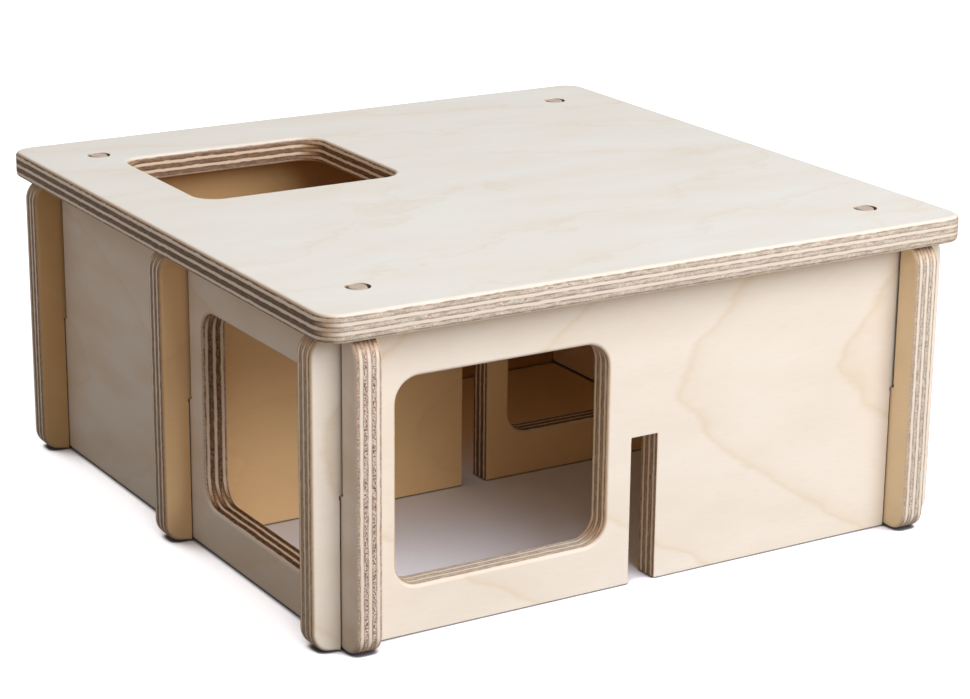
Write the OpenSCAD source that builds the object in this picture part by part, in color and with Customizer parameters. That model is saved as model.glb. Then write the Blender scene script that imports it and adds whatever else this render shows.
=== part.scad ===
// Small animal maze: five plywood walls slotted together with half laps, under a lift-off roof
// that four dowel pegs keep in place. Origin at the middle of the footprint, on the ground.
// +X runs to the right along the front wall, +Y to the back and +Z up. Sizes in millimetres.

/* [Rooms] */
// Clear width between the two side walls
inside_w = 202; // [190:1:280]
// Clear depth between the front wall and the back wall
inside_d = 202; // [190:1:280]
// Height of all walls
wall_h = 101; // [90:0.5:140]

/* [Plywood] */
// Thickness of the wall panels
wall_t = 9; // [6:0.5:10]
// Thickness of the roof panel
roof_t = 9; // [6:0.5:12]

/* [Wall ends] */
// How far a wall end stands out past the wall that it crosses
ear_l = 10; // [8:0.5:20]
// Radius of the outer corners of a wall
ear_r = 7; // [2:0.5:8]

/* [Half laps] */
// Height at which two walls meet in a lap
lap_z = 50; // [44:0.5:56]
// Gap on each side of a wall in its slot
slot_gap = 0.5; // [0.2:0.1:1]

/* [Windows] */
// Width of a window
window_w = 76.5; // [40:0.5:80]
// Height of a window
window_h = 67.5; // [40:0.5:70]
// Height of a window's sill above the ground
sill_h = 16; // [8:0.5:18]
// Radius of a window's corners
window_r = 8; // [3:0.5:18]

/* [Roof] */
// How far the roof stands out past the wall ends
roof_overhang = 1; // [0:0.5:15]
// Radius of the roof's corners
roof_r = 8; // [2:0.5:20]
// Width of the hatch, along the front
hatch_w = 76.5; // [40:0.5:80]
// Depth of the hatch, front to back
hatch_d = 67.5; // [40:0.5:74]
// Radius of the hatch's corners
hatch_r = 8; // [3:0.5:18]
// Distance of the hatch from the inside of the left wall
hatch_side = 9; // [6:0.5:14]
// Distance of the hatch from the inside of the back wall
hatch_back = 14; // [8:0.5:20]

/* [Dowels] */
// Diameter of the dowels
dowel_d = 7.8; // [5:0.1:10]
// Length of the dowels, flush with the top of the roof
dowel_l = 30; // [16:1:40]
// Gap round a dowel in its hole
dowel_gap = 0.1; // [0.05:0.05:0.3]
// Gap between a peg and the two walls of its corner
peg_gap = 0.5; // [0.3:0.1:2]

/* [Hidden] */
$fn = 64;

// Distance between the middle planes of the outer walls, along X and along Y
pitch_x = inside_w + wall_t;
pitch_y = inside_d + wall_t;

// Length of the cross walls and of the side walls, from ear to ear
cross_l = pitch_x + wall_t + 2 * ear_l;
side_l = pitch_y + wall_t + 2 * ear_l;

// Half laps: a slot is as wide as a wall with its play
slot_w = wall_t + 2 * slot_gap;

// Middle of half a wall, and the height of a window's middle
window_x = pitch_x / 4;
window_y = pitch_y / 4;
window_z = sill_h + window_h / 2;

// Roof panel, its dowels in the four inside corners and its hatch over the back left corner
roof_w = cross_l + 2 * roof_overhang;
roof_d = side_l + 2 * roof_overhang;
roof_top = wall_h + roof_t;
peg_inset = peg_gap + dowel_d / 2;
dowel_x = inside_w / 2 - peg_inset;
dowel_y = inside_d / 2 - peg_inset;
hatch_x = inside_w / 2 - hatch_side - hatch_w / 2;
hatch_y = inside_d / 2 - hatch_back - hatch_d / 2;

// Cuts run this far past the face they start from
over = 1;

birch = [0.91, 0.85, 0.75];
birch_end = [0.82, 0.72, 0.60];

// Rectangle about the origin with round corners
module rounded_rectangle(w, h, r) {
    square([w - 2 * r, h], center = true);
    square([w, h - 2 * r], center = true);
    for (x = [-1, 1], y = [-1, 1])
        translate([x * (w / 2 - r), y * (h / 2 - r)])
            circle(r);
}

// Outline of a wall of length l, standing on the ground, before anything is cut from it
module wall_outline(l) {
    translate([0, wall_h / 2])
        rounded_rectangle(l, wall_h, ear_r);
}

// Three slots, at the two ends and in the middle, from height low to height high
module slots(pitch, low, high) {
    for (i = [-1, 0, 1])
        translate([i * pitch / 2 - slot_w / 2, low])
            square([slot_w, high - low]);
}

// Window in the half of the wall that lies at distance along from its middle
module window(along) {
    translate([along, window_z])
        rounded_rectangle(window_w, window_h, window_r);
}

// Outline drawn in length and height, stood up along X at distance y from the middle
module stand_along_x(y) {
    translate([0, y + wall_t / 2, 0])
        rotate([90, 0, 0])
            linear_extrude(wall_t)
                children();
}

// Outline drawn in length and height, stood up along Y at distance x from the middle
module stand_along_y(x) {
    translate([x - wall_t / 2, 0, 0])
        rotate([90, 0, 90])
            linear_extrude(wall_t)
                children();
}

// Cross wall: its slots are open at the bottom, and children are cut out too
module cross_wall(y) {
    color(birch)
        stand_along_x(y)
            difference() {
                wall_outline(cross_l);
                slots(pitch_x, -over, lap_z);
                children();
            }
}

// Side wall: its slots are open at the top, and children are cut out too
module side_wall(x) {
    color(birch)
        stand_along_y(x)
            difference() {
                wall_outline(side_l);
                slots(pitch_y, lap_z, wall_h + over);
                children();
            }
}

module front_wall() {
    cross_wall(-pitch_y / 2)
        window(-window_x);
}

module divider_wall() {
    cross_wall(0)
        window(window_x);
}

module back_wall() {
    cross_wall(pitch_y / 2);
}

module left_wall() {
    side_wall(-pitch_x / 2)
        window(-window_y);
}

module right_wall() {
    side_wall(pitch_x / 2);
}

module roof_panel() {
    color(birch)
        translate([0, 0, wall_h])
            difference() {
                linear_extrude(roof_t)
                    difference() {
                        rounded_rectangle(roof_w, roof_d, roof_r);
                        translate([-hatch_x, hatch_y])
                            rounded_rectangle(hatch_w, hatch_d, hatch_r);
                    }
                for (x = [-1, 1], y = [-1, 1])
                    translate([x * dowel_x, y * dowel_y, -over])
                        cylinder(d = dowel_d + 2 * dowel_gap, h = roof_t + 2 * over);
            }
}

// Dowel in the corner given by the signs of x and y, flush with the roof and standing out below it
module dowel(x, y) {
    color(birch_end)
        translate([x * dowel_x, y * dowel_y, roof_top - dowel_l])
            cylinder(d = dowel_d, h = dowel_l);
}

roof_panel();
dowel(-1, -1);  // dowel_front_left
dowel(1, -1);  // dowel_front_right
dowel(-1, 1);  // dowel_back_left
dowel(1, 1);  // dowel_back_right
front_wall();
divider_wall();
back_wall();
left_wall();
right_wall();
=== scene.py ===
# %% [markdown]
# A small animal maze: five slotted plywood walls that halve over one another, and a roof panel that sits
# on top, held by a dowel in each corner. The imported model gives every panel's place and size, so this
# lesson starts by loading it. From there each panel is drawn again as a cut sheet of birch plywood with
# eased edges, because the edges and the grain are what the eye reads as plywood.

# %% Load the frame
from math import pi, radians

import bmesh
import bpy
from mathutils import Matrix, Vector


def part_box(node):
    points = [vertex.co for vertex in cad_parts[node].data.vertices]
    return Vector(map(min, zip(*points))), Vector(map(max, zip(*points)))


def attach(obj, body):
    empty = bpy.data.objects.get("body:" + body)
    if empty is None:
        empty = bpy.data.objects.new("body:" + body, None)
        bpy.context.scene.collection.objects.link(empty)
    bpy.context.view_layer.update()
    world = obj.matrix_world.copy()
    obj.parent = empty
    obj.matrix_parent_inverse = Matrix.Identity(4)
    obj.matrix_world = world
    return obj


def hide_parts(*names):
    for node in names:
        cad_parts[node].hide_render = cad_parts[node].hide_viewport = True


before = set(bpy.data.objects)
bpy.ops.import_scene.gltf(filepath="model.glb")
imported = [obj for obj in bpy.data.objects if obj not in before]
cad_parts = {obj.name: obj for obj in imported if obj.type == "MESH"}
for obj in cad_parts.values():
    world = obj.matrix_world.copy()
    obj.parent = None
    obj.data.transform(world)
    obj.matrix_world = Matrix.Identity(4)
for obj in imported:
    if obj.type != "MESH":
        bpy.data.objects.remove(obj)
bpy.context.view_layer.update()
MM = 0.001

# %% [markdown]
# The camera stands where the photograph was taken: to the left of the front and above the roof, with a
# long lens that keeps the edges nearly parallel. A camera could be aimed by eye, but a maze is all
# straight edges, so its direction is set by three angles, and the small shift says how the picture was
# trimmed.

# %% Camera
PICTURE_WIDTH = 970
FOCAL_LENGTH_PX = 2677.5
TRIM_PX = Vector((26.1, 3.2))
SENSOR_WIDTH = 36.0
NEAREST_SEEN = 0.05
CAMERA_SPOT = Vector((-463.6, -773.4, 332.9)) * MM
CAMERA_TURN = radians(31.897)
CAMERA_DIP = radians(17.552)
CAMERA_ROLL = radians(0.737)


def add_object(name, data):
    """A new object with this data, put into the scene."""
    made = bpy.data.objects.new(name, data)
    bpy.context.scene.collection.objects.link(made)
    return made


camera_data = bpy.data.cameras.new("camera")
camera_data.sensor_width = SENSOR_WIDTH
camera_data.lens = SENSOR_WIDTH * FOCAL_LENGTH_PX / PICTURE_WIDTH
camera_data.shift_x = -TRIM_PX.x / PICTURE_WIDTH
camera_data.shift_y = TRIM_PX.y / PICTURE_WIDTH
camera_data.clip_start = NEAREST_SEEN
camera = add_object("camera", camera_data)
aim = Matrix.Rotation(-CAMERA_TURN, 4, "Z") @ Matrix.Rotation(pi / 2 - CAMERA_DIP, 4, "X")
camera.matrix_world = Matrix.Translation(CAMERA_SPOT) @ aim @ Matrix.Rotation(CAMERA_ROLL, 4, "Z")
bpy.context.scene.camera = camera
bpy.context.scene.view_settings.view_transform = "Standard"
print("lens in mm:", round(camera_data.lens, 1))

# %% [markdown]
# Every material and every Geometry Nodes tree below is built from nodes, so a few small helpers come
# first. One makes a node and fills its inputs, whether an input is a plain value or another node's
# output. Three more make the Math and Vector Math nodes that are used most, and the last one turns a
# colour from a paint chart into the linear numbers that shaders use.

# %% Node helpers
def node(tree, kind, inputs=None, **options):
    """A node of this kind, with its options set and its inputs given as values or as outputs to link."""
    made = tree.nodes.new(kind)
    for option, value in options.items():
        setattr(made, option, value)
    for socket, value in (inputs or {}).items():
        if isinstance(value, bpy.types.NodeSocket):
            tree.links.new(value, made.inputs[socket])
        else:
            made.inputs[socket].default_value = value
    return made


def calc(tree, operation, first, second=0.0, clamp=False):
    """The output of one Math node, in a shader tree or in a geometry tree."""
    made = node(tree, "ShaderNodeMath", {0: first, 1: second}, operation=operation, use_clamp=clamp)
    return made.outputs[0]


def times(tree, first, second):
    """Two values multiplied."""
    return calc(tree, "MULTIPLY", first, second)


def vector_math(tree, operation, first, second):
    """The output of one Vector Math node."""
    made = node(tree, "ShaderNodeVectorMath", {0: first, 1: second}, operation=operation)
    return made.outputs["Value" if operation == "DOT_PRODUCT" else "Vector"]


def paint(red, green, blue):
    """A colour as a paint chart gives it, 0 to 255, made linear by the curve of the sRGB standard."""
    def linear(value):
        share = value / 255
        return share / 12.92 if share <= 0.04045 else ((share + 0.055) / 1.055) ** 2.4
    return (linear(red), linear(green), linear(blue), 1.0)


print("a mid paint grey is", round(paint(128, 128, 128)[0], 3), "in linear light")

# %% [markdown]
# The light is one very large soft lamp in front of the maze and above it. It makes the front wall the
# brightest face and reaches through the windows into the rooms without hard shadows. Several small lamps
# could do the same, but each would add a shadow of its own.

# %% Lamp
KEY_DIRECTION = Vector((0.22, -0.75, 0.63)).normalized()
KEY_DISTANCE = 1.8
KEY_WIDTH = 1.7
KEY_WATTS = 33.5
KEY_COLOUR = paint(247, 251, 255)

key_light = bpy.data.lights.new("key_lamp", "AREA")
key_light.shape = "DISK"
key_light.size = KEY_WIDTH
key_light.energy = KEY_WATTS
key_light.color = KEY_COLOUR[:3]
key_lamp = add_object("key_lamp", key_light)
key_lamp.location = KEY_DIRECTION * KEY_DISTANCE
key_lamp.rotation_euler = KEY_DIRECTION.to_track_quat("Z", "Y").to_euler()
print("key lamp at", [round(value, 2) for value in key_lamp.location], "m")

# %% [markdown]
# The sky is bright overhead but dim all round, so the roof stays bright while the left side, which only
# sees the lower sky, falls into shade. The picture itself has a plain white background. Three outputs of
# the Light Path node tell a ray that makes the picture from one that only lights the maze, so the sky can
# be white for the first kind and dim for the second.

# %% Sky
SKY_OVERHEAD = paint(250, 249, 252)
SKY_OVERHEAD_STRENGTH = 0.58
SKY_AROUND = paint(255, 244, 230)
SKY_AROUND_STRENGTH = 0.43
WHITE = (1.0, 1.0, 1.0, 1.0)


def seen_directly(tree):
    """1 for a ray that makes the picture, straight, by reflection or through glass, and 0 for the rest."""
    rays = node(tree, "ShaderNodeLightPath").outputs
    seen = calc(tree, "MAXIMUM", rays["Is Camera Ray"], rays["Is Glossy Ray"])
    return calc(tree, "MAXIMUM", seen, rays["Is Transmission Ray"])


def mix_shader(tree, share, first, second):
    """Two shaders mixed by a share from 0 to 1."""
    return node(tree, "ShaderNodeMixShader", {0: share, 1: first, 2: second}).outputs[0]


def sky_light(colour, strength):
    """One even light for the sky."""
    return node(sky, "ShaderNodeBackground", {"Color": colour, "Strength": strength}).outputs[0]


world = bpy.data.worlds.new("studio")
bpy.context.scene.world = world
world.use_nodes = True
sky = world.node_tree
sky.nodes.clear()
direction = node(sky, "ShaderNodeTexCoord").outputs["Generated"]
height = calc(sky, "MAXIMUM", node(sky, "ShaderNodeSeparateXYZ", {0: direction}).outputs["Z"], 0.0)
low_sky = sky_light(SKY_AROUND, SKY_AROUND_STRENGTH)
high_sky = sky_light(SKY_OVERHEAD, SKY_OVERHEAD_STRENGTH)
room_sky = mix_shader(sky, times(sky, height, height), low_sky, high_sky)
either_sky = mix_shader(sky, seen_directly(sky), room_sky, sky_light(WHITE, 1.0))
node(sky, "ShaderNodeOutputWorld", {"Surface": either_sky})
print("sky:", len(sky.nodes), "nodes")

# %% [markdown]
# The floor is one large square, a tenth of a millimetre below the feet of the walls so that the two never
# share a plane. It is only there for the picture.

# %% Floor
FLOOR_HALF = 4.0
FLOOR_DROP = 0.1 * MM
CORNER_SIGNS = [(-1, -1), (1, -1), (1, 1), (-1, 1)]

floor_points = [(x * FLOOR_HALF, y * FLOOR_HALF, -FLOOR_DROP) for x, y in CORNER_SIGNS]
floor_mesh = bpy.data.meshes.new("floor")
floor_mesh.from_pydata(floor_points, [], [(0, 1, 2, 3)])
floor = add_object("floor", floor_mesh)
print("floor", 2 * FLOOR_HALF, "m across")

# %% [markdown]
# A studio floor that is white in a picture is often grey in the room, so this floor answers the camera as
# white and the maze as grey, told apart as in the sky. First comes what it throws back on the maze: grey
# outside; darker beside the left wall, a painted shadow of the maze that keeps that side in shade; pale in
# the rooms; and warm in the back room, a painted warm light that stands for light which has already met a
# good deal of wood. The floor's own coordinates say where a point lies.

# %% Floor paint: the light it throws back
FLOOR_GREY = paint(150, 149, 148)
FLOOR_PAINTED_SHADOW = paint(42, 41, 40)
FLOOR_INDOORS = paint(238, 236, 234)
FLOOR_PAINTED_WARM_BOUNCE = paint(228, 158, 80)
ROOM_REACH = 101.0 * MM
BACK_ROOM_FADE = 50.0 * MM
SHADE_START = -108.0 * MM
SHADE_END = -260.0 * MM


def span(tree, value, low, high, low_result=0.0, high_result=1.0):
    """A value mapped from one span to another and held within it."""
    made = node(tree, "ShaderNodeMapRange", {"Value": value, "From Min": low, "From Max": high,
                                             "To Min": low_result, "To Max": high_result})
    return made.outputs["Result"]


def mix_colour(tree, share, first, second, blend="MIX"):
    """Two colours mixed by a share from 0 to 1."""
    made = node(tree, "ShaderNodeMix", {0: share, 6: first, 7: second}, data_type="RGBA", blend_type=blend)
    return made.outputs[2]


def filtered(tree, colour, filter_colour):
    """A colour darkened by another one, as light is by a filter."""
    return mix_colour(tree, 1.0, colour, filter_colour, "MULTIPLY")


floor_paint = bpy.data.materials.new("studio_floor")
floor_paint.use_nodes = True
floor_mesh.materials.append(floor_paint)
tree = floor_paint.node_tree
tree.nodes.clear()
spot = node(tree, "ShaderNodeSeparateXYZ", {0: node(tree, "ShaderNodeTexCoord").outputs["Object"]}).outputs
from_middle = calc(tree, "MAXIMUM", calc(tree, "ABSOLUTE", spot["X"]), calc(tree, "ABSOLUTE", spot["Y"]))
indoors = calc(tree, "LESS_THAN", from_middle, ROOM_REACH)
# A painted shadow of the maze: beside the left wall the floor throws back less light.
painted_shadow_share = span(tree, spot["X"], SHADE_END, SHADE_START)
painted_shadow_share = times(tree, painted_shadow_share, calc(tree, "LESS_THAN", spot["X"], SHADE_START))
outdoor_colour = mix_colour(tree, painted_shadow_share, FLOOR_GREY, FLOOR_PAINTED_SHADOW)
# The back room's warm colour is painted warm light, thrown back onto the wood.
back_room = times(tree, indoors, span(tree, spot["Y"], 0.0, BACK_ROOM_FADE))
indoor_colour = mix_colour(tree, back_room, FLOOR_INDOORS, FLOOR_PAINTED_WARM_BOUNCE)
thrown_colour = mix_colour(tree, indoors, outdoor_colour, indoor_colour)
room_floor = node(tree, "ShaderNodeBsdfDiffuse", {"Color": thrown_colour}).outputs[0]
print("floor paint so far:", len(tree.nodes), "nodes")

# %% [markdown]
# The camera sees a white floor with a glow of its own. An Ambient Occlusion node takes the glow away where
# the floor is closed in, under the roof and at the feet, and what is left there is the floor's own shadow.
# A second one with a reach of two millimetres paints a thin contact shadow where a wall stands on the
# floor, and in the back room the seen floor is tinted warm, a painted warm light. From below the floor is
# clear, so that the maze can be looked at from there too.

# %% Floor paint: what the camera sees
FLOOR_WHITE = paint(240, 236, 243)
FLOOR_PAINTED_WARM_LIGHT = paint(242, 206, 150)
FLOOR_SEEN_GLOW = 0.72
FLOOR_SAMPLES = 16
CLOSED_IN_REACH = 0.30
CLOSED_IN = 0.32
OPEN_AIR = 0.44
CONTACT_REACH = 2.0 * MM
CONTACT_FROM = 0.45
CONTACT_TO = 0.85
CONTACT_SHADE_DARK = 0.22


def openness(tree, reach, samples):
    """How much of the surroundings within reach a point can see."""
    return node(tree, "ShaderNodeAmbientOcclusion", {"Distance": reach}, samples=samples).outputs["AO"]


# A painted contact shadow: within two millimetres of a wall's foot the floor is darkened.
near_open = openness(tree, CONTACT_REACH, FLOOR_SAMPLES)
painted_contact_shade = span(tree, near_open, CONTACT_FROM, CONTACT_TO, CONTACT_SHADE_DARK, 1.0)
# In the back room the seen floor is tinted warm, a painted warm light.
seen_colour = filtered(tree, mix_colour(tree, back_room, FLOOR_WHITE, FLOOR_PAINTED_WARM_LIGHT), painted_contact_shade)
seen_floor = node(tree, "ShaderNodeBsdfDiffuse", {"Color": seen_colour}).outputs[0]
open_air = span(tree, openness(tree, CLOSED_IN_REACH, FLOOR_SAMPLES), CLOSED_IN, OPEN_AIR)
glow_strength = times(tree, times(tree, open_air, painted_contact_shade), FLOOR_SEEN_GLOW)
glow = node(tree, "ShaderNodeEmission", {"Strength": glow_strength}).outputs[0]
white_floor = node(tree, "ShaderNodeAddShader", {0: seen_floor, 1: glow}).outputs[0]
either_floor = mix_shader(tree, seen_directly(tree), room_floor, white_floor)
from_below = node(tree, "ShaderNodeNewGeometry").outputs["Backfacing"]
clear = node(tree, "ShaderNodeBsdfTransparent").outputs[0]
one_way = mix_shader(tree, from_below, either_floor, clear)
node(tree, "ShaderNodeOutputMaterial", {"Surface": one_way})
print("floor paint:", len(tree.nodes), "nodes")

# %% [markdown]
# The wood needs a few more helpers. A shader group holds nodes that several materials share, a colour ramp
# turns a value into a mask, and noise is measured in millimetres, so that the size of a mark on the wood
# can be written down as it would be measured with a rule.

# %% Helpers for wood
def shader_group(name, inputs, outputs):
    """A new shader node group with these named sockets, and its input and output nodes."""
    group = bpy.data.node_groups.new(name, "ShaderNodeTree")
    for label, kind in inputs:
        group.interface.new_socket(label, in_out="INPUT", socket_type="NodeSocket" + kind)
    for label, kind in outputs:
        group.interface.new_socket(label, in_out="OUTPUT", socket_type="NodeSocket" + kind)
    return group, group.nodes.new("NodeGroupInput").outputs, group.nodes.new("NodeGroupOutput").inputs


def ramp(tree, value, stops):
    """The value run through a colour ramp of grey stops, each a place and a brightness."""
    made = node(tree, "ShaderNodeValToRGB", {"Fac": value})
    elements = made.color_ramp.elements
    while len(elements) < len(stops):
        elements.new(1.0)
    for element, (place, grey) in zip(elements, stops):
        element.position = place
        element.color = (grey, grey, grey, 1.0)
    return made.outputs["Color"]


def noise(tree, place, sizes, detail=2.0):
    """Noise on a place in millimetres, whose marks have about these sizes along the three directions."""
    shrink = tuple(1.0 / length for length in sizes)
    scaled = vector_math(tree, "MULTIPLY", place, shrink)
    made = node(tree, "ShaderNodeTexNoise", {"Vector": scaled, "Scale": 1.0, "Detail": detail})
    return made.outputs["Fac"]


def swing(tree, place, sizes, detail=2.0):
    """The same noise, but swinging about zero."""
    return calc(tree, "SUBTRACT", noise(tree, place, sizes, detail), 0.5)


FINE_DETAIL = 3.0
print("detail of fine noise:", FINE_DETAIL)

# %% [markdown]
# Birch veneer is peeled off the log like paper off a roll, so its growth rings show as a few wandering
# lines that nest into flames. A noise texture alone gives clouds and no lines. Here a flame is a family of
# hyperbolas, pushed about by noise, and a colour ramp draws each ring as a thin dark line with a soft
# side. Short vessel marks along the grain and broad clouds complete it. The group only puts out masks,
# and each material colours them in its own way.

# %% Shader group: birch figure
RING_STOPS = [(0.0, 1.0), (0.03, 0.5), (0.08, 0.2), (0.25, 0.0), (0.955, 0.0), (0.98, 0.5), (1.0, 1.0)]
SLOW_PUSH_SIZES = (38, 22, 30)
QUICK_PUSH_SIZES = (7, 3.5, 5)
QUICK_PUSH_DETAIL = 4.0
QUICK_PUSH_SHARE = 0.22
VESSEL_SIZES = (7, 0.45, 0.45)
VESSEL_STOPS = [(0.56, 0.0), (0.70, 1.0)]
CLOUD_SIZES = (60, 18, 40)

figure, given, result = shader_group(
    "birch_figure",
    [("Place", "Vector"), ("Flame Centre", "Vector"), ("Ring Spacing", "Float"), ("Flame Width", "Float"),
     ("Wander", "Float")],
    [("Rings", "Float"), ("Vessels", "Float"), ("Clouds", "Float")])
place = given["Place"]
from_centre = vector_math(figure, "SUBTRACT", place, given["Flame Centre"])
offset = node(figure, "ShaderNodeSeparateXYZ", {0: from_centre}).outputs
across = calc(figure, "DIVIDE", offset["Y"], given["Flame Width"])
along = calc(figure, "DIVIDE", offset["X"], given["Ring Spacing"])
flank = calc(figure, "SQRT", calc(figure, "ADD", times(figure, across, across), 1.0))
flame_field = calc(figure, "SUBTRACT", along, flank)
slow_push = swing(figure, place, SLOW_PUSH_SIZES)
quick_push = swing(figure, place, QUICK_PUSH_SIZES, QUICK_PUSH_DETAIL)
push = calc(figure, "ADD", slow_push, times(figure, quick_push, QUICK_PUSH_SHARE))
field = calc(figure, "ADD", flame_field, times(figure, push, given["Wander"]))
rings = ramp(figure, calc(figure, "FRACT", field), RING_STOPS)
vessels = ramp(figure, noise(figure, place, VESSEL_SIZES, FINE_DETAIL), VESSEL_STOPS)
clouds = noise(figure, place, CLOUD_SIZES, FINE_DETAIL)
for label, mask in {"Rings": rings, "Vessels": vessels, "Clouds": clouds}.items():
    figure.links.new(mask, result[label])
print("birch figure group:", len(figure.nodes), "nodes")

# %% [markdown]
# Cut through the sheet and the edge shows its seven plies, laid crosswise by turns and glued. The plies
# are part of the sheet's depth, not of its edge, so they are made as a solid pattern: a point's depth
# alone says which ply it lies in. Then a rounded edge cuts into the second ply by itself, just as a router
# bit does. Fibres run along the sheet in one set of plies and across it in the other. As the noise that
# stands for them is stretched the same way, it gives streaks along a fibre and specks where the fibres
# are cut through. A coarser noise makes the plies mottled, and its peaks are small voids in the core.

# %% Shader group: ply layers
HALF_SHEET = 4.5
PLY_EDGES = [0.7, 2.1, 3.5]
GLUE_LINE = 0.42
SOFT_EDGE = 0.06
WAVE_SIZES = (11, 11, 30)
WAVE_DEPTH = 0.5
SEAM_BREAK_SIZES = (2.6, 2.6, 0.9)
SEAM_BREAK_STOPS = [(0.36, 0.35), (0.56, 1.0)]
FACE_FIBRE_SIZES = (7, 0.55, 0.5)
CROSS_FIBRE_SIZES = (0.55, 7, 0.5)
MOTTLE_SIZES = (4.0, 4.0, 1.1)
VOID_STOPS = [(0.68, 0.0), (0.74, 1.0)]

layers, given, result = shader_group(
    "ply_layers", [("Place", "Vector")],
    [(label, "Float") for label in ("Cross Ply", "Glue", "Fibres", "Mottle", "Voids")])
place = given["Place"]
depth = node(layers, "ShaderNodeSeparateXYZ", {0: place}).outputs["Z"]
waviness = swing(layers, place, WAVE_SIZES)
wavy_depth = calc(layers, "ADD", depth, times(layers, waviness, WAVE_DEPTH))
sheet_share = calc(layers, "DIVIDE", calc(layers, "ABSOLUTE", wavy_depth), HALF_SHEET, clamp=True)
half_line = GLUE_LINE / 2
soft_line = half_line + SOFT_EDGE
line_profile = [(-soft_line, 0.0), (-half_line, 1.0), (half_line, 1.0), (soft_line, 0.0)]
cross_stops = []
glue_stops = []
cross_now = 1.0
for edge in PLY_EDGES:
    cross_stops.append(((edge - SOFT_EDGE) / HALF_SHEET, cross_now))
    cross_now = 1.0 - cross_now
    cross_stops.append(((edge + SOFT_EDGE) / HALF_SHEET, cross_now))
    glue_stops += [((edge + shift) / HALF_SHEET, grey) for shift, grey in line_profile]
cross_ply = ramp(layers, sheet_share, cross_stops)
glue_seams = ramp(layers, sheet_share, glue_stops)
seam_breaks = ramp(layers, noise(layers, place, SEAM_BREAK_SIZES, FINE_DETAIL), SEAM_BREAK_STOPS)
glue = times(layers, glue_seams, seam_breaks)
face_fibres = noise(layers, place, FACE_FIBRE_SIZES)
cross_fibres = noise(layers, place, CROSS_FIBRE_SIZES)
fibres = node(layers, "ShaderNodeMix", {0: cross_ply, 2: face_fibres, 3: cross_fibres}).outputs[0]
mottle = noise(layers, place, MOTTLE_SIZES)
voids = ramp(layers, mottle, VOID_STOPS)
ply_masks = {"Cross Ply": cross_ply, "Glue": glue, "Fibres": fibres, "Mottle": mottle, "Voids": voids}
for label, mask in ply_masks.items():
    layers.links.new(mask, result[label])
print("ply layers group:", len(layers.nodes), "nodes")

# %% [markdown]
# Where two panels meet, dirt and shade gather in the crack, and on pale wood such a crack reads as a thin
# brown line. This group paints that line into the colour, so it is painted shade as much as dirt. An
# Ambient Occlusion node with a reach of a few millimetres finds these places by itself: it says how much of
# the near surroundings a point can see, and only a crack sees less than a plain inside corner does.

# %% Shader group: seam dirt and painted shade
SEAM_REACH = 3.5 * MM
SEAM_SAMPLES = 6
SEAM_STOPS = [(0.16, 1.0), (0.38, 0.0)]

seams, given, result = shader_group("seam_dirt_and_shade", [("Reach", "Float")], [("Seam", "Float")])
seen_share = openness(seams, given["Reach"], SEAM_SAMPLES)
seams.links.new(ramp(seams, seen_share, SEAM_STOPS), result["Seam"])
print("seam dirt group:", len(seams.nodes), "nodes")

# %% [markdown]
# Now the groups' masks get their colours. On the faces of a panel lie a veneer for the low side and one for
# the high side, then clouds, rings and vessel marks over it. Each panel was cut from another part of the
# sheet, so how strong they are is left open here. Where a side looks into the rooms its colour is browner,
# which is painted shade.

# %% Birch plywood: the faces
RING_TAN = paint(214, 182, 132)
CLOUD_TAN = paint(214, 184, 146)
VESSEL_BROWN = paint(198, 168, 132)
CLOUD_START = 0.35
CLOUD_FULL = 0.7
VESSEL_STRENGTH = 0.08


def stain(tree, wood, mask, strength, colour):
    """Wood with a colour laid over it where a mask says so, up to a strength from 0 to 1."""
    return mix_colour(tree, times(tree, mask, strength), wood, colour)


def face_colour(tree, grain, side, face_colours_and_shade, figure_strength, cloudiness):
    """The colour of a panel's two faces, where side runs from -1 on the low one to 1 on the high one."""
    veneer = mix_colour(tree, span(tree, side, -1.0, 1.0), face_colours_and_shade[0], face_colours_and_shade[1])
    cloud_share = ramp(tree, grain["Clouds"], [(CLOUD_START, 0.0), (CLOUD_FULL, cloudiness)])
    face = mix_colour(tree, cloud_share, veneer, CLOUD_TAN)
    face = stain(tree, face, grain["Rings"], figure_strength, RING_TAN)
    return stain(tree, face, grain["Vessels"], VESSEL_STRENGTH, VESSEL_BROWN)


print("vessel marks show at", VESSEL_STRENGTH, "of their colour")

# %% [markdown]
# A ply whose fibres end at the surface drinks in the light and looks dark and speckled. So the colour of an
# edge follows the angle between the surface and the fibres of the ply that it cuts, and each panel's two
# end colours put the darker one on the edges that face the shade, a painted shade. Some ends are browned,
# partly by the saw and partly as painted shade, and they are mottled. Specks, voids, glue, and dirt with
# painted shade in the seams come over that.

# %% Birch plywood: the edges
GLUE_BROWN = paint(206, 190, 174)
ENDS_SCORCHED_AND_SHADED = paint(126, 88, 60)
VOID_AND_SEAM_SHADE_BROWN = paint(64, 42, 26)
SPECK_BROWN = paint(112, 72, 52)
SCORCH_AND_SHADE_STRENGTH = 0.85
VOID_STRENGTH = 0.7
GLUE_STRENGTH = 0.9
DIRT_AND_SHADE_STRENGTH = 0.75
MOTTLE_SPAN = (0.33, 0.67)
MOTTLE_LIGHT = (0.78, 1.14)
STREAK_SPAN = (0.3, 0.7)
STREAK_LIGHT = (0.99, 1.008)
SPECK_SPAN = (0.56, 0.36)


def end_grain(tree, plies, across, scorch_and_shade, ends):
    """The colour of fibre ends, where across says how squarely the cross plies are cut."""
    colour = mix_colour(tree, times(tree, across, across), ends[0], ends[1])
    colour = stain(tree, colour, scorch_and_shade, SCORCH_AND_SHADE_STRENGTH, ENDS_SCORCHED_AND_SHADED)
    return filtered(tree, colour, span(tree, plies["Mottle"], *MOTTLE_SPAN, *MOTTLE_LIGHT))


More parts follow.
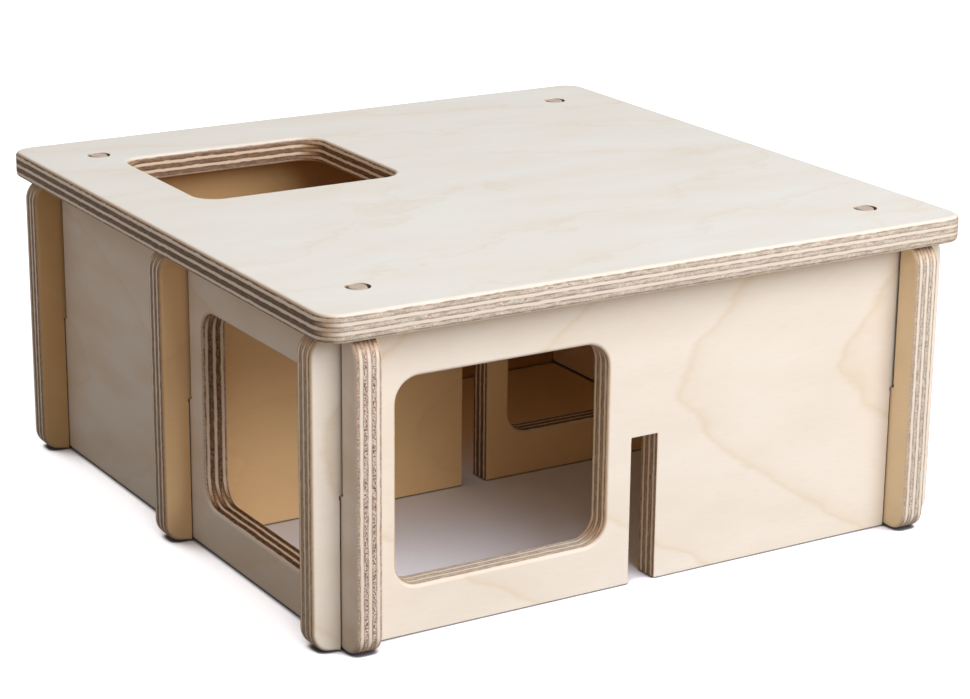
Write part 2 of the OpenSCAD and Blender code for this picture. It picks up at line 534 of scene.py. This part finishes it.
def marked_wood(tree, wood, plies, cut_across, end_colour, specks, seam):
    """Wood with streaks along its fibres, specks and voids in its ends, glue lines, and dirt with painted
    shade in its seams.
    """
    wood = filtered(tree, wood, span(tree, plies["Fibres"], *STREAK_SPAN, *STREAK_LIGHT))
    speck_share = span(tree, plies["Fibres"], *SPECK_SPAN, 0.0, specks)
    wood = stain(tree, wood, cut_across, speck_share, filtered(tree, wood, SPECK_BROWN))
    wood = stain(tree, wood, times(tree, cut_across, plies["Voids"]), VOID_STRENGTH, VOID_AND_SEAM_SHADE_BROWN)
    wood = stain(tree, wood, plies["Glue"], GLUE_STRENGTH, filtered(tree, end_colour, GLUE_BROWN))
    # Seams are darkened with dirt and painted shade together.
    return stain(tree, wood, seam, DIRT_AND_SHADE_STRENGTH, VOID_AND_SEAM_SHADE_BROWN)


# The dirt share is dirt and painted shade in the seams.
print("glue lines show at", GLUE_STRENGTH, "and dirt at", DIRT_AND_SHADE_STRENGTH, "of their colours")

# %% [markdown]
# One function makes the material of any panel from the three groups. The panel's own flat coordinates come
# from a mesh attribute called panel, so the grain turns with the panel. A second attribute marks slots and
# openings, whose edges are browned, partly as saw scorch and partly as painted shade. Bare sanded wood has
# next to no gloss, so the specular level is low, and a slight bump lifts the fibres and sinks the glue.

# %% Birch plywood: the material
ROLLED_BROWN = paint(226, 196, 164)
PLY_PALE = paint(234, 219, 203)
PLY_SCORCHED_AND_SHADED = paint(229, 205, 179)
SCORCH_AND_SHADE_STOPS = [(0.0, 1.0), (0.2, 0.0)]
SLANT_STOPS = [(0.25, 0.0), (0.7, 0.75)]
END_SHARPNESS = 3.0
PLY_ROUGHNESS = (0.55, 0.72)
PLY_SPECULAR = 0.08
FIBRE_HEIGHT = 0.6
VESSEL_DEPTH = 0.25
PLY_BUMP = {"Strength": 0.35, "Distance": 0.12 * MM}


def own_place(tree, attribute):
    """A piece's own coordinates in millimetres, from a mesh attribute."""
    stored = node(tree, "ShaderNodeAttribute", attribute_name=attribute).outputs["Vector"]
    return vector_math(tree, "MULTIPLY", stored, (1 / MM, 1 / MM, 1 / MM))


def birch_plywood(name, sheet_axis, grain_axis, face_colours_and_shade, ends, specks, flame, wander, figure_strength,
                  cloudiness=0.17):
    """Birch plywood for a panel square to sheet_axis with its face grain along grain_axis. Two face colours
    give its low and its high side; where a side looks into the rooms, its browner colour is painted shade.
    The ends colour face plies and cross plies cut across their fibres, and the darker of the two, on the
    edges that face the shade, is painted shade as well. Specks says how dark the specks in them are. The
    flame has a centre, a ring spacing and a width in mm, wander bends its rings, and figure_strength and
    cloudiness say how dark rings and clouds are."""
    material = bpy.data.materials.new(name)
    material.use_nodes = True
    tree = material.node_tree
    shader = tree.nodes["Principled BSDF"].inputs
    place = own_place(tree, "panel")
    flame_centre, ring_spacing, flame_width = flame
    grain = node(tree, "ShaderNodeGroup", {
        "Place": place, "Flame Centre": flame_centre, "Ring Spacing": ring_spacing,
        "Flame Width": flame_width, "Wander": wander}, node_tree=figure).outputs
    plies = node(tree, "ShaderNodeGroup", {"Place": place}, node_tree=layers).outputs
    seam = node(tree, "ShaderNodeGroup", {"Reach": SEAM_REACH}, node_tree=seams).outputs["Seam"]

    facing = node(tree, "ShaderNodeNewGeometry").outputs["Normal"]
    side = vector_math(tree, "DOT_PRODUCT", facing, sheet_axis)
    on_face = times(tree, side, side)
    along = calc(tree, "ABSOLUTE", vector_math(tree, "DOT_PRODUCT", facing, grain_axis))
    cross_axis = tuple(Vector(sheet_axis).cross(Vector(grain_axis)))
    across = calc(tree, "ABSOLUTE", vector_math(tree, "DOT_PRODUCT", facing, cross_axis))
    steepness = node(tree, "ShaderNodeMix", {0: plies["Cross Ply"], 2: along, 3: across}).outputs[0]
    # Browning of slots and openings: partly saw scorch, partly painted shade.
    scorch_and_shade = node(tree, "ShaderNodeAttribute", attribute_name="scorch_and_shade").outputs["Fac"]
    scorch_and_shade = times(tree, scorch_and_shade, ramp(tree, on_face, SCORCH_AND_SHADE_STOPS))

    # Face colours: the browner colour on a side that looks into the rooms is painted shade.
    face = face_colour(tree, grain, side, face_colours_and_shade, figure_strength, cloudiness)
    wood = mix_colour(tree, on_face, mix_colour(tree, scorch_and_shade, PLY_PALE, PLY_SCORCHED_AND_SHADED), face)
    wood = mix_colour(tree, ramp(tree, steepness, SLANT_STOPS), wood, ROLLED_BROWN, "MULTIPLY")
    cut_across = calc(tree, "POWER", steepness, END_SHARPNESS)
    # End colours: the darker one, on edges that face the shade, is painted shade.
    end_colour = end_grain(tree, plies, across, scorch_and_shade, ends)
    wood = mix_colour(tree, cut_across, wood, end_colour)
    wood = marked_wood(tree, wood, plies, cut_across, end_colour, specks, seam)
    tree.links.new(wood, shader["Base Color"])

    tree.links.new(span(tree, plies["Fibres"], 0.0, 1.0, *PLY_ROUGHNESS), shader["Roughness"])
    relief = calc(tree, "SUBTRACT", times(tree, plies["Fibres"], FIBRE_HEIGHT), plies["Glue"])
    relief = calc(tree, "SUBTRACT", relief, times(tree, grain["Vessels"], VESSEL_DEPTH))
    bump = node(tree, "ShaderNodeBump", {"Height": relief, **PLY_BUMP})
    tree.links.new(bump.outputs["Normal"], shader["Normal"])
    shader["Specular IOR Level"].default_value = PLY_SPECULAR
    return material


print("plywood specular level:", PLY_SPECULAR)

# %% [markdown]
# Each panel gets its own material, because each was cut from another part of the sheet and shows another
# piece of the figure. The brown faces are those that look into the rooms, and their brown is painted shade;
# the left wall's outer face, on the shaded side, is slightly cooler and darker, painted shade as well. The
# darker end colour of each panel goes on the edges that face the shade, which is painted shade too. The
# front wall has one flame in its right half, and the left wall is the cloudy one.

# %% Plywood for each panel
ALONG_X = (1.0, 0.0, 0.0)
ALONG_Y = (0.0, 1.0, 0.0)
ALONG_Z = (0.0, 0.0, 1.0)
DARK_ENDS = paint(122, 99, 80)
MID_ENDS = paint(152, 126, 102)
LIGHT_ENDS = paint(192, 161, 129)
GREY_ENDS = paint(217, 203, 189)
SPECKLED_ENDS = paint(222, 202, 188)
PALE = paint(241, 229, 216)
COOL = paint(231, 228, 222)
LILAC = paint(236, 223, 211)
TAN = paint(244, 204, 154)
DARK_TAN = paint(208, 168, 118)
LIGHT_TAN = paint(249, 224, 186)

PLYWOOD = {
    "front_wall": birch_plywood(
        "front_birch", ALONG_Y, ALONG_X, face_colours_and_shade=(PALE, LIGHT_TAN), ends=(LIGHT_ENDS, GREY_ENDS),
        specks=0.35, flame=((15.5, 64.5, 0.0), 65.0, 33.5), wander=0.36, figure_strength=0.27),
    "divider_wall": birch_plywood(
        "divider_birch", ALONG_Y, ALONG_X, face_colours_and_shade=(TAN, TAN), ends=(MID_ENDS, GREY_ENDS),
        specks=0.35, flame=((-260.0, 20.0, 0.0), 80.0, 30.0), wander=0.7, figure_strength=0.18),
    "back_wall": birch_plywood(
        "back_birch", ALONG_Y, ALONG_X, face_colours_and_shade=(DARK_TAN, PALE), ends=(MID_ENDS, GREY_ENDS),
        specks=0.35, flame=((-40.0, 120.0, 40.0), 70.0, 36.0), wander=0.6, figure_strength=0.3),
    "left_wall": birch_plywood(
        "left_birch", ALONG_X, ALONG_Y, face_colours_and_shade=(LILAC, LIGHT_TAN), ends=(SPECKLED_ENDS, DARK_ENDS),
        specks=1.0, flame=((180.0, 40.0, 80.0), 90.0, 30.0), wander=0.5, figure_strength=0.2,
        cloudiness=0.5),
    "right_wall": birch_plywood(
        "right_birch", ALONG_X, ALONG_Y, face_colours_and_shade=(LIGHT_TAN, PALE), ends=(GREY_ENDS, DARK_ENDS),
        specks=0.5, flame=((-30.0, 50.0, 120.0), 75.0, 34.0), wander=0.5, figure_strength=0.3),
    "roof_panel": birch_plywood(
        "roof_birch", ALONG_Z, ALONG_X, face_colours_and_shade=(LIGHT_TAN, COOL), ends=(DARK_ENDS, GREY_ENDS),
        specks=0.3, flame=((-150.0, -10.0, 160.0), -130.0, 34.0), wander=1.2, figure_strength=0.15),
}
print("plywood materials:", ", ".join(material.name for material in PLYWOOD.values()))

# %% [markdown]
# Every panel follows one rule: an outline with some corners rounded, cut from a sheet, with its edges
# eased. That makes it a good job for Geometry Nodes. The outline is a mesh of bare corners, and two
# attributes on each corner say how round it is and how far its edge is eased. The tree's first part rounds
# the corners, pulls the loops in by the ease and fills the flat face between them. A Bevel modifier could
# ease the edges too, but it would work on a filled face full of stray triangles.

# %% Geometry Nodes: a panel's outline and face
def geometry_tree(name, inputs):
    """A geometry tree with these inputs and one output, its input node's outputs and their identifiers."""
    tree = bpy.data.node_groups.new(name, "GeometryNodeTree")
    identifiers = {}
    for label, kind in inputs:
        socket = tree.interface.new_socket(label, in_out="INPUT", socket_type="NodeSocket" + kind)
        identifiers[label] = socket.identifier
    tree.interface.new_socket("Geometry", in_out="OUTPUT", socket_type="NodeSocketGeometry")
    return tree, tree.nodes.new("NodeGroupInput").outputs, identifiers


def geo(tree, kind, inputs=None, **options):
    """The first output of a geometry node."""
    return node(tree, "GeometryNode" + kind, inputs, **options).outputs[0]


def named(tree, name, data_type="FLOAT"):
    """The value of a named attribute."""
    made = node(tree, "GeometryNodeInputNamedAttribute", {"Name": name}, data_type=data_type)
    return made.outputs["Attribute"]


def store(tree, geometry, name, value, data_type="FLOAT_VECTOR", domain="POINT"):
    """A geometry with a named attribute added or changed."""
    return geo(tree, "StoreNamedAttribute", {"Geometry": geometry, "Name": name, "Value": value},
               data_type=data_type, domain=domain)


def along_z(tree, height):
    """A vector that points straight up by a height."""
    return node(tree, "ShaderNodeCombineXYZ", {"Z": height}).outputs[0]


def lengthened(tree, vector, factor):
    """A vector made longer or shorter by a factor."""
    return node(tree, "ShaderNodeVectorMath", {0: vector, "Scale": factor}, operation="SCALE").outputs[0]


tree, given, PANEL_INPUTS = geometry_tree(
    "plywood_panel",
    [("Outline", "Geometry"), ("Thickness", "Float"), ("Corner Points", "Int"), ("Edge Steps", "Int"),
     ("Turn", "Vector"), ("Place", "Vector"), ("Material", "Material")])
half_thickness = calc(tree, "DIVIDE", given["Thickness"], 2.0)
ease = named(tree, "ease")
outward = named(tree, "outward", "FLOAT_VECTOR")
loops = geo(tree, "MeshToCurve", {"Mesh": given["Outline"]})
rounded = geo(tree, "FilletCurve", {
    "Curve": loops, "Count": given["Corner Points"], "Radius": named(tree, "corner_radius")},
    mode="POLY")
upright = geo(tree, "SetCurveNormal", {"Curve": rounded}, mode="Z_UP")
marked = store(tree, upright, "outward", geo(tree, "InputNormal"))
inset = lengthened(tree, outward, times(tree, ease, -1.0))
face_loops = geo(tree, "SetPosition", {"Geometry": marked, "Offset": inset})
flat_face = geo(tree, "FillCurve", {"Curve": face_loops}, mode="NGONS")
raised_face = geo(tree, "Transform", {
    "Geometry": flat_face, "Translation": along_z(tree, half_thickness)})
crisp_face = geo(tree, "SetShadeSmooth", {"Geometry": raised_face, "Shade Smooth": False})
print("panel tree so far:", len(tree.nodes), "nodes")

# %% [markdown]
# The edge starts as the rim of that face. A repeat zone pulls the rim out and down in small steps along a
# quarter circle, as a router bit would, and one last pull takes it straight down to the middle of the
# sheet. Each pull moves only the new edges, so every corner can have an ease of its own.

# %% Geometry Nodes: a panel's rolled edge
rim = geo(tree, "CurveToMesh", {"Curve": face_loops})
rim = geo(tree, "SetPosition", {"Geometry": rim, "Offset": along_z(tree, half_thickness)})
rim = store(tree, rim, "rim", True, "BOOLEAN", "EDGE")

roll_in = tree.nodes.new("GeometryNodeRepeatInput")
roll_out = tree.nodes.new("GeometryNodeRepeatOutput")
roll_in.pair_with_output(roll_out)
tree.links.new(given["Edge Steps"], roll_in.inputs["Iterations"])
tree.links.new(rim, roll_in.inputs["Geometry"])
step_angle = calc(tree, "DIVIDE", pi / 2, given["Edge Steps"])
angle = times(tree, roll_in.outputs["Iteration"], step_angle)
next_angle = calc(tree, "ADD", angle, step_angle)


def step(function):
    """How much the sine or cosine of the roll changes in this step, times the ease."""
    before = calc(tree, function, angle)
    after = calc(tree, function, next_angle)
    return times(tree, calc(tree, "SUBTRACT", after, before), ease)


def pull_rim(geometry, move):
    """The rim's edges pulled out into a strip of faces, whose far side is moved and is the new rim."""
    pulled = node(tree, "GeometryNodeExtrudeMesh", {
        "Mesh": geometry, "Selection": named(tree, "rim", "BOOLEAN"), "Offset Scale": 0.0},
        mode="EDGES").outputs
    moved = geo(tree, "SetPosition", {
        "Geometry": pulled["Mesh"], "Selection": pulled["Top"], "Offset": move})
    return store(tree, moved, "rim", pulled["Top"], "BOOLEAN", "EDGE")


step_out = lengthened(tree, outward, step("SINE"))
step_move = vector_math(tree, "ADD", step_out, along_z(tree, step("COSINE")))
tree.links.new(pull_rim(roll_in.outputs["Geometry"], step_move), roll_out.inputs["Geometry"])
straight_down = along_z(tree, calc(tree, "SUBTRACT", ease, half_thickness))
edge_strip = pull_rim(roll_out.outputs["Geometry"], straight_down)
smooth_strip = geo(tree, "SetShadeSmooth", {"Geometry": edge_strip, "Shade Smooth": True})
print("panel tree so far:", len(tree.nodes), "nodes")

# %% [markdown]
# Face and edge make half a sheet, and its mirror image is the other half. Welded together they are one
# solid board. While it still lies flat, each point's place is stored as the panel attribute that the
# plywood reads, and then the board is stood up where it belongs.

# %% Geometry Nodes: a whole panel
WELD_DISTANCE = 0.004 * MM
MIRRORED = (1.0, 1.0, -1.0)


def joined(tree, *parts):
    """Several geometries as one."""
    join = tree.nodes.new("GeometryNodeJoinGeometry")
    for part in parts:
        tree.links.new(part, join.inputs[0])
    return join.outputs[0]


def finish_tree(tree, geometry, material):
    """Ends a tree: instances are realized, and the geometry leaves with one material on all of it."""
    realized = geo(tree, "RealizeInstances", {"Geometry": geometry})
    finished = geo(tree, "SetMaterial", {"Geometry": realized, "Material": material})
    node(tree, "NodeGroupOutput", {"Geometry": finished})


half_sheet = joined(tree, crisp_face, smooth_strip)
other_half = geo(tree, "Transform", {"Geometry": half_sheet, "Scale": MIRRORED})
other_half = geo(tree, "FlipFaces", {"Mesh": other_half})
whole = joined(tree, half_sheet, other_half)
welded = geo(tree, "MergeByDistance", {"Geometry": whole, "Distance": WELD_DISTANCE})
mapped = store(tree, welded, "panel", geo(tree, "InputPosition"))
for spent in ("rim", "outward", "ease", "corner_radius"):
    mapped = geo(tree, "RemoveAttribute", {"Geometry": mapped, "Name": spent})
stood = geo(tree, "Transform", {
    "Geometry": mapped, "Rotation": given["Turn"], "Translation": given["Place"]})
finish_tree(tree, stood, given["Material"])
panel_tree = tree
print("panel tree:", len(tree.nodes), "nodes")

# %% [markdown]
# A panel's corners are written as a short list that runs round the outline with the wood on its left, and
# each corner carries its two radii and its scorch. One helper turns such loops into an object. Another
# runs a tree on it and keeps the result as a plain mesh at the origin.

# %% Cutting a panel
CORNER_POINTS = 10
EDGE_STEPS = 6


def outline_object(name, loops):
    """An object of bare edges from loops of corners, each (x, y, corner radius, ease) in m and scorch."""
    corners = [corner for loop in loops for corner in loop]
    edges = []
    first = 0
    for loop in loops:
        count = len(loop)
        edges += [(first + index, first + (index + 1) % count) for index in range(count)]
        first += count
    mesh = bpy.data.meshes.new(name)
    mesh.from_pydata([(x, y, 0.0) for x, y, *_ in corners], edges, [])
    for column, label in ((2, "corner_radius"), (3, "ease"), (4, "scorch_and_shade")):
        values = mesh.attributes.new(label, "FLOAT", "POINT").data
        values.foreach_set("value", [corner[column] for corner in corners])
    return add_object(name, mesh)


def run_tree(base, tree, identifiers, settings, name):
    """Runs a geometry tree on an object and returns its result as a plain object of this name."""
    modifier = base.modifiers.new("tree", "NODES")
    modifier.node_group = tree
    for label, value in settings.items():
        modifier[identifiers[label]] = value
    evaluated = base.evaluated_get(bpy.context.evaluated_depsgraph_get())
    mesh = bpy.data.meshes.new_from_object(evaluated)
    base.modifiers.remove(modifier)
    bpy.data.objects.remove(base)
    work = bmesh.new()
    work.from_mesh(mesh)
    bmesh.ops.recalc_face_normals(work, faces=work.faces)
    open_edges = sum(1 for edge in work.edges if not edge.is_manifold)
    work.to_mesh(mesh)
    work.free()
    mesh.name = name
    print(name, len(mesh.polygons), "faces,", open_edges, "open edges")
    return add_object(name, mesh)


def cut_panel(name, loops, thickness, turn, place, material):
    """A finished plywood panel from its loops of corners."""
    settings = {"Thickness": thickness, "Corner Points": CORNER_POINTS, "Edge Steps": EDGE_STEPS,
                "Turn": turn, "Place": place, "Material": material}
    return run_tree(outline_object(name + "_outline", loops), panel_tree, PANEL_INPUTS, settings, name)


def rectangle(centre, size, radius, ease, hole=False, scorch_and_shade=0.0):
    """A loop round a rectangle: counter-clockwise round wood, clockwise round a hole."""
    signs = CORNER_SIGNS[::-1] if hole else CORNER_SIGNS
    return [(centre[0] + sx * size[0] / 2, centre[1] + sy * size[1] / 2, radius, ease, scorch_and_shade)
            for sx, sy in signs]


print("corner points:", CORNER_POINTS, "edge steps:", EDGE_STEPS)

# %% [markdown]
# The five walls are the same board with three half-height slots. The cross walls have their slots open at
# the bottom and the side walls at the top, so each pair locks flush. A slot that holds a wall ends in a
# small relief on either side, where the cutter turned. In the cross walls these slots are tighter than the
# empty middle one. Those in the side walls sit a little to the front, because the walls of a real maze lean
# on one side of their slots. Slots are cut crisp because they have to fit.

# %% Slots
LAP_HEIGHT = 50.0 * MM
SLOT_EASE = 0.3 * MM
SLOT_CORNER = 0.3 * MM
SLOT_GAP = 0.5 * MM
TIGHT_SLOT_GAP = 0.25 * MM
JOINT_PUSH = 0.45 * MM
RELIEF_WIDTH = 0.25 * MM
RELIEF_LENGTH = 1.3 * MM


def middle(name):
    """The middle of a node's box."""
    low, high = (Vector(corner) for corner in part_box(name))
    return (low + high) / 2


def size(name):
    """The size of a node's box."""
    low, high = (Vector(corner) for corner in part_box(name))
    return high - low


CROSS_WALLS = ("front_wall", "divider_wall", "back_wall")
SIDE_WALLS = ("left_wall", "right_wall")
WALL_THICKNESS = size("front_wall").y
CROSS_PLACES = [middle(name).y for name in CROSS_WALLS]
JOINT_PLACES = [middle(name).x for name in SIDE_WALLS]
SIDE_PLACES = [JOINT_PLACES[0], 0.0, JOINT_PLACES[1]]


def slot_corners(place, height, open_at_top, scorch_and_shade):
    """The corners of one slot, in the order in which the outline of a wall of this height meets them."""
    filled = open_at_top or place in JOINT_PLACES
    direction = -1 if open_at_top else 1
    mouth = height if open_at_top else 0.0
    gap = TIGHT_SLOT_GAP if filled and not open_at_top else SLOT_GAP
    reach = direction * (WALL_THICKNESS / 2 + gap)
    slot_middle = place - JOINT_PUSH if open_at_top else place
    near, far = slot_middle - reach, slot_middle + reach
    points = [(near, mouth), (near, LAP_HEIGHT), (far, LAP_HEIGHT), (far, mouth)]
    if filled:
        neck = LAP_HEIGHT - direction * RELIEF_LENGTH
        near_relief, far_relief = near - direction * RELIEF_WIDTH, far + direction * RELIEF_WIDTH
        points[1:3] = [(near, neck), (near_relief, neck), (near_relief, LAP_HEIGHT),
                       (far_relief, LAP_HEIGHT), (far_relief, neck), (far, neck)]
    return [(x, y, SLOT_CORNER, SLOT_EASE, scorch_and_shade) for x, y in points]


print("slots along a cross wall in mm:", [round(place / MM, 2) for place in SIDE_PLACES])

# %% [markdown]
# Some walls have a window sawn out, and like the outline it is eased for small paws. Slots and windows are
# browned, partly as saw scorch and partly as painted shade: fully in the divider and the left wall, whose
# openings lie in shade, and only slightly in the lit front wall. The value on their corners tells the
# plywood so.

# %% Walls
EAR_RADIUS = 7.0 * MM
WALL_EASE = 1.3 * MM
WINDOW_SIZE = (76.5 * MM, 67.5 * MM)
WINDOW_SILL = 16.0 * MM
WINDOW_RADIUS = 8.0 * MM
SLIGHT_SCORCH_AND_SHADE = 0.12
PLAIN_SCORCH_AND_SHADE = 0.3
FULL_SCORCH_AND_SHADE = 1.0
FACING_FRONT = (pi / 2, 0.0, 0.0)
FACING_SIDE = (pi / 2, 0.0, pi / 2)
ROOM_MIDDLE = (CROSS_PLACES[2] - CROSS_PLACES[1]) / 2
WINDOWS = {"front_wall": (-ROOM_MIDDLE, SLIGHT_SCORCH_AND_SHADE), "divider_wall": (ROOM_MIDDLE, FULL_SCORCH_AND_SHADE),
           "left_wall": (-ROOM_MIDDLE, FULL_SCORCH_AND_SHADE)}


def wall_loops(length, height, slots, open_at_top, window_at=None, scorch_and_shade=PLAIN_SCORCH_AND_SHADE):
    """The outline of a slotted wall, from its bottom left corner, and its window if it has one."""
    ear = (EAR_RADIUS, WALL_EASE, 0.0)
    bottom = [(-length / 2, 0.0, *ear), (length / 2, 0.0, *ear)]
    top = [(length / 2, height, *ear), (-length / 2, height, *ear)]
    slotted_side = top if open_at_top else bottom
    slotted_side[1:1] = [corner for place in sorted(slots, reverse=open_at_top)
                         for corner in slot_corners(place, height, open_at_top, scorch_and_shade)]
    loops = [bottom + top]
    if window_at is not None:
        window_middle = (window_at, WINDOW_SILL + WINDOW_SIZE[1] / 2)
        loops.append(rectangle(window_middle, WINDOW_SIZE, WINDOW_RADIUS, WALL_EASE, True, scorch_and_shade))
    return loops


pieces = {}
for name in CROSS_WALLS:
    loops = wall_loops(size(name).x, size(name).z, SIDE_PLACES, False, *WINDOWS.get(name, ()))
    place = (0.0, middle(name).y, 0.0)
    pieces[name] = cut_panel(name + "_ply", loops, WALL_THICKNESS, FACING_FRONT, place, PLYWOOD[name])
for name in SIDE_WALLS:
    loops = wall_loops(size(name).y, size(name).z, CROSS_PLACES, True, *WINDOWS.get(name, ()))
    place = (middle(name).x, 0.0, 0.0)
    pieces[name] = cut_panel(name + "_ply", loops, WALL_THICKNESS, FACING_SIDE, place, PLYWOOD[name])

# %% [markdown]
# The roof is the same sheet with a hatch near its back left corner and a hole for each dowel. Its edges
# are eased further than the walls', and the upper one gives the bright line along the front. The dowel
# holes are drilled, so they stay sharp.

# %% Roof panel
ROOF_RADIUS = 8.0 * MM
ROOF_EASE = 1.6 * MM
HATCH_MIDDLE = (-53.75 * MM, 53.25 * MM)
HATCH_SIZE = (76.5 * MM, 67.5 * MM)
HATCH_RADIUS = 8.0 * MM
HOLE_WIDTH = 8.0 * MM
HOLE_EASE = 0.1 * MM
LYING_FLAT = (0.0, 0.0, 0.0)
DOWELS = ["dowel_front_left", "dowel_front_right", "dowel_back_left", "dowel_back_right"]

roof_size = size("roof_panel")
roof_loops = [rectangle((0.0, 0.0), (roof_size.x, roof_size.y), ROOF_RADIUS, ROOF_EASE),
              # The hatch is browned fully, partly as saw scorch and partly as painted shade.
              rectangle(HATCH_MIDDLE, HATCH_SIZE, HATCH_RADIUS, ROOF_EASE, True, FULL_SCORCH_AND_SHADE)]
for name in DOWELS:
    hole_centre = middle(name).xy
    roof_loops.append(rectangle(hole_centre, (HOLE_WIDTH, HOLE_WIDTH), HOLE_WIDTH / 2, HOLE_EASE, True))
roof_place = (0.0, 0.0, middle("roof_panel").z)
pieces["roof_panel"] = cut_panel("roof_panel_ply", roof_loops, roof_size.z, LYING_FLAT, roof_place,
                                 PLYWOOD["roof_panel"])

# %% [markdown]
# A dowel ends flush with the roof, so all that shows is a disc of end grain in a thin dark ring. It is a
# birch rod with faint growth rings and rays, a little pinker than the sheet.

# %% Dowel wood
DOWEL_LIGHT = paint(198, 182, 167)
DOWEL_DARK = paint(164, 142, 122)
ROD_FIBRE_SIZES = (0.35, 0.35, 9.0)
ROD_RINGS = {"Scale": 0.35, "Distortion": 1.2, "Detail": 2.0}
ROD_RING_STRENGTH = 0.35
SPECKLE_STOPS = [(0.45, 0.0), (0.7, 0.6)]
ROD_ROUGHNESS = (0.55, 0.75)
ROD_SPECULAR = 0.35
ROD_BUMP = {"Strength": 0.3, "Distance": 0.1 * MM}

dowel_wood = bpy.data.materials.new("dowel_wood")
dowel_wood.use_nodes = True
tree = dowel_wood.node_tree
shader = tree.nodes["Principled BSDF"].inputs
place = own_place(tree, "rod")
rod_fibres = noise(tree, place, ROD_FIBRE_SIZES, FINE_DETAIL)
rod_rings = node(tree, "ShaderNodeTexWave", {"Vector": place, **ROD_RINGS}, bands_direction="X")
ring_share = times(tree, rod_rings.outputs["Fac"], ROD_RING_STRENGTH)
dark_share = calc(tree, "ADD", ring_share, ramp(tree, rod_fibres, SPECKLE_STOPS), clamp=True)
tree.links.new(mix_colour(tree, dark_share, DOWEL_LIGHT, DOWEL_DARK), shader["Base Color"])
tree.links.new(span(tree, rod_fibres, 0.0, 1.0, *ROD_ROUGHNESS), shader["Roughness"])
bump = node(tree, "ShaderNodeBump", {"Height": rod_fibres, **ROD_BUMP})
tree.links.new(bump.outputs["Normal"], shader["Normal"])
shader["Specular IOR Level"].default_value = ROD_SPECULAR
print("dowel material:", len(tree.nodes), "nodes")

# %% [markdown]
# Four equal dowels at four corners are a repeat, so they come from Geometry Nodes: a grid of two by two
# points, and a rod on each point. A rod is a circle swept along a line of four points. It is thinner at
# the two outer ones, so it tapers over the last two millimetres of each end, as a peg should.

# %% Geometry Nodes: one dowel
SHARP_FOLD = radians(25.0)
ROD_SIDES = 48

tree, given, DOWEL_INPUTS = geometry_tree(
    "corner_dowels",
    [("Geometry", "Geometry"), ("Spread", "Float"), ("Top", "Float"), ("Length", "Float"),
     ("Radius", "Float"), ("Chamfer", "Float"), ("Taper", "Float"), ("Seed", "Int"),
     ("Material", "Material")])
bottom_end = times(tree, given["Length"], -1.0)
rod_points = {
    "Point 1": along_z(tree, bottom_end),
    "Point 2": along_z(tree, calc(tree, "ADD", bottom_end, given["Taper"])),
    "Point 3": along_z(tree, times(tree, given["Taper"], -1.0)),
    "Point 4": along_z(tree, 0.0)}
axis = geo(tree, "CurvePrimitiveQuadrilateral", rod_points, mode="POINTS")
axis = geo(tree, "SetSplineCyclic", {"Geometry": axis, "Cyclic": False})
rod_ends = geo(tree, "CurveEndpointSelection", {"Start Size": 1, "End Size": 1})
end_radius = calc(tree, "SUBTRACT", given["Radius"], given["Chamfer"])
rod_radius = geo(tree, "Switch", {
    "Switch": rod_ends, "False": given["Radius"], "True": end_radius}, input_type="FLOAT")
circle = geo(tree, "CurvePrimitiveCircle", {"Resolution": ROD_SIDES, "Radius": 1.0}, mode="RADIUS")
rod_mesh = geo(tree, "CurveToMesh", {
    "Curve": axis, "Profile Curve": circle, "Scale": rod_radius, "Fill Caps": True})
fold = node(tree, "GeometryNodeInputMeshEdgeAngle").outputs["Unsigned Angle"]
soft_fold = calc(tree, "LESS_THAN", fold, SHARP_FOLD)
rod_mesh = geo(tree, "SetShadeSmooth", {"Geometry": rod_mesh, "Shade Smooth": soft_fold}, domain="EDGE")
rod_mesh = store(tree, rod_mesh, "rod", geo(tree, "InputPosition"))
print("dowel tree so far:", len(tree.nodes), "nodes")

# %% [markdown]
# The rod is now set on the four corners of the grid, each time turned by a random amount, with a fixed
# seed, so that no two ends show the same grain. Its length, its radius and the spread of the corners come
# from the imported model's own dowels, so the pegs fit the holes in the roof.

# %% Geometry Nodes: four dowels
DOWEL_CHAMFER = 1.2 * MM
DOWEL_TAPER = 2.0 * MM
ROD_SEED = 5
FULL_TURN = (0.0, 0.0, 2 * pi)

grid = geo(tree, "MeshGrid", {
    "Size X": given["Spread"], "Size Y": given["Spread"], "Vertices X": 2, "Vertices Y": 2})
corners = geo(tree, "Transform", {"Geometry": grid, "Translation": along_z(tree, given["Top"])})
twist = node(tree, "FunctionNodeRandomValue", {"Max": FULL_TURN, "Seed": given["Seed"]},
             data_type="FLOAT_VECTOR").outputs[0]
rods = geo(tree, "InstanceOnPoints", {"Points": corners, "Instance": rod_mesh, "Rotation": twist})
finish_tree(tree, rods, given["Material"])

dowel_size = size(DOWELS[0])
dowel_settings = {
    "Spread": middle("dowel_front_right").x - middle("dowel_front_left").x,
    "Top": Vector(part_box(DOWELS[0])[1]).z, "Length": dowel_size.z, "Radius": dowel_size.x / 2,
    "Chamfer": DOWEL_CHAMFER, "Taper": DOWEL_TAPER, "Seed": ROD_SEED, "Material": dowel_wood}
dowels = run_tree(outline_object("dowel_base", []), tree, DOWEL_INPUTS, dowel_settings,
                  "corner_dowels")

# %% [markdown]
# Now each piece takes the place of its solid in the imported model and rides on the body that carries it:
# the three cross walls stay put, each side wall is drawn on its own, and the dowels lift off with the roof.

# %% Fit the pieces to the frame
BODY_OF = {"front_wall": "cross_walls", "divider_wall": "cross_walls", "back_wall": "cross_walls",
           "left_wall": "left_side", "right_wall": "right_side", "roof_panel": "roof"}

for name, piece in pieces.items():
    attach(piece, BODY_OF[name])
    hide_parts(name)
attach(dowels, "roof")
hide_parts(*DOWELS)
print("pieces fitted:", len(pieces) + 1)
